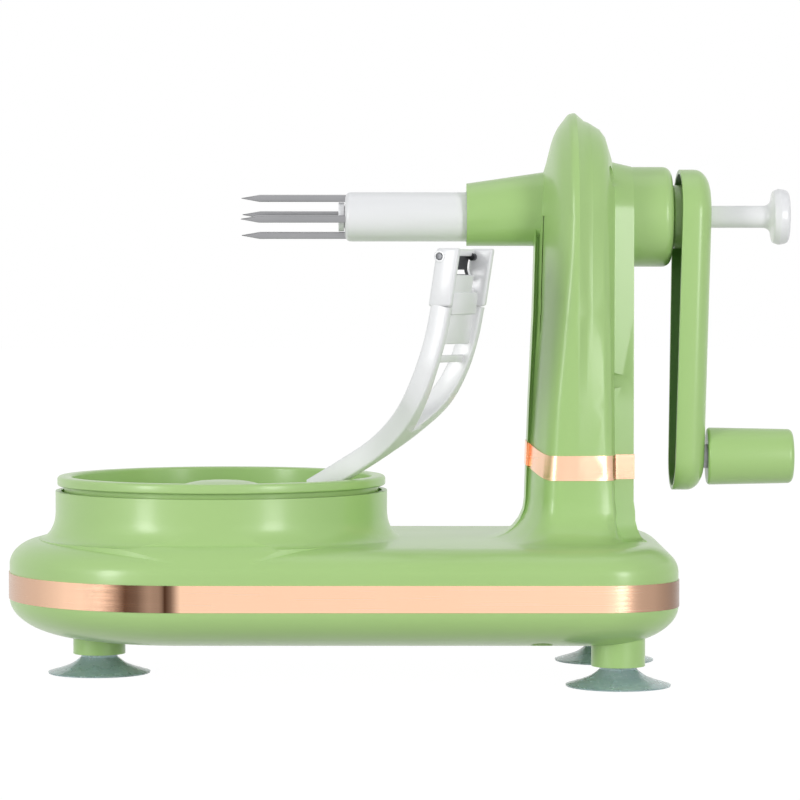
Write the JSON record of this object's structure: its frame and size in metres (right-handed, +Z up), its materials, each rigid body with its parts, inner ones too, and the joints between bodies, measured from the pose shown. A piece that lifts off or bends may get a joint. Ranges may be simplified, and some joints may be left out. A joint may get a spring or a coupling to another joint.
{
  "type": "apple peeler corer",
  "caption": "Hand-cranked fruit peeler and corer: a forked spindle turns the fruit while a geared turntable carries a swivel-blade arm round it.",
  "frame": {"origin": "centre of the footprint box on the table, midway between the turntable's axis and the column's shaft", "axes": "+X towards the crank, +Y to the rear, away from the parked peeling arm, +Z up"},
  "size_m": [0.2611, 0.1226, 0.1865],
  "materials": {
    "body_green": "satin gloss moulded",
    "band_copper": "satin copper tone",
    "white_plastic": "smooth moulded",
    "gear_plastic": "natural acetal",
    "cup_rubber": "translucent soft",
    "steel": "stainless",
    "screw_steel": "zinc plated",
    "bush_brass": "turned",
    "bush_plastic": "natural acetal"
  },
  "bodies": {
    "root": {"base_lower_shell": "body_green", "base_upper_shell": "body_green", "base_band": "band_copper", "suction_cup_left": "cup_rubber", "suction_cup_right_front": "cup_rubber", "suction_cup_right_rear": "cup_rubber", "base_screws": "screw_steel", "column_front_shell": "body_green", "column_rear_shell": "body_green", "column_band": "band_copper", "column_screws": "screw_steel", "spindle_front_bush": "bush_brass", "spindle_rear_bush": "bush_brass", "shaft_upper_bush": "bush_brass", "shaft_lower_bush": "bush_brass", "first_gear_pin": "steel", "second_gear_pin": "steel", "turntable_bush": "bush_plastic"},
    "crank": {"crank_arm": "body_green", "crank_grub_screw": "screw_steel", "knob_axle": "steel", "spindle": "steel", "spindle_bevel_gear": "gear_plastic", "fork_holder": "white_plastic", "fork_prongs": "steel"},
    "knob": {"crank_knob": "body_green"},
    "ejector": {"push_rod": "white_plastic", "ejector_plate": "white_plastic"},
    "shaft": {"vertical_shaft": "steel", "shaft_bevel_gear": "gear_plastic", "shaft_pinion": "gear_plastic"},
    "first_gear": {"first_compound_gear": "gear_plastic"},
    "second_gear": {"second_compound_gear": "gear_plastic"},
    "turntable": {"tray": "body_green", "turntable_gear": "gear_plastic", "turntable_washer": "screw_steel", "turntable_screw": "screw_steel", "arm_bracket": "white_plastic", "arm_hinge_pin": "steel", "arm_spring": "steel"},
    "arm": {"peeler_arm": "white_plastic", "blade_holder": "white_plastic"},
    "blade": {"blade": "steel"}
  },
  "joints": [
    {"name": "crank_turn", "type": "hinge", "parent": "root", "child": "crank", "pos_m": [0.06, 0, 0.1521], "axis": [1, 0, 0], "continuous": true},
    {"name": "knob_spin", "type": "hinge", "parent": "crank", "child": "knob", "pos_m": [0.1025, 0, 0.0724], "axis": [1, 0, 0], "continuous": true},
    {"name": "ejector_push", "type": "slide", "parent": "crank", "child": "ejector", "axis": [-1, 0, 0], "range_m": [0, 0.019]},
    {"name": "shaft_turn", "type": "hinge", "parent": "root", "child": "shaft", "pos_m": [0.06, 0, 0.08], "axis": [0, 0, 1], "continuous": true},
    {"name": "first_gear_turn", "type": "hinge", "parent": "root", "child": "first_gear", "pos_m": [0.03, 0, 0.024], "axis": [0, 0, 1], "continuous": true},
    {"name": "second_gear_turn", "type": "hinge", "parent": "root", "child": "second_gear", "pos_m": [0, 0, 0.03], "axis": [0, 0, 1], "continuous": true},
    {"name": "turntable_turn", "type": "hinge", "parent": "root", "child": "turntable", "pos_m": [-0.06, 0, 0.05], "axis": [0, 0, 1], "continuous": true},
    {"name": "arm_swing", "type": "hinge", "parent": "turntable", "child": "arm", "pos_m": [-0.02709, -0.019, 0.06], "axis": [-0.5, -0.866, 0], "range_deg": [0, 28]},
    {"name": "blade_swivel", "type": "hinge", "parent": "arm", "child": "blade", "pos_m": [0.0182, -0.04515, 0.1384], "axis": [0.5, 0.866, 0], "range_deg": [-14, 14]}
  ],
  "couplings": [
    {"joint": "shaft_turn", "follows": "crank_turn", "ratio": 1},
    {"joint": "first_gear_turn", "follows": "crank_turn", "ratio": -0.25},
    {"joint": "second_gear_turn", "follows": "crank_turn", "ratio": 0.125},
    {"joint": "turntable_turn", "follows": "crank_turn", "ratio": -0.028061}
  ]
}
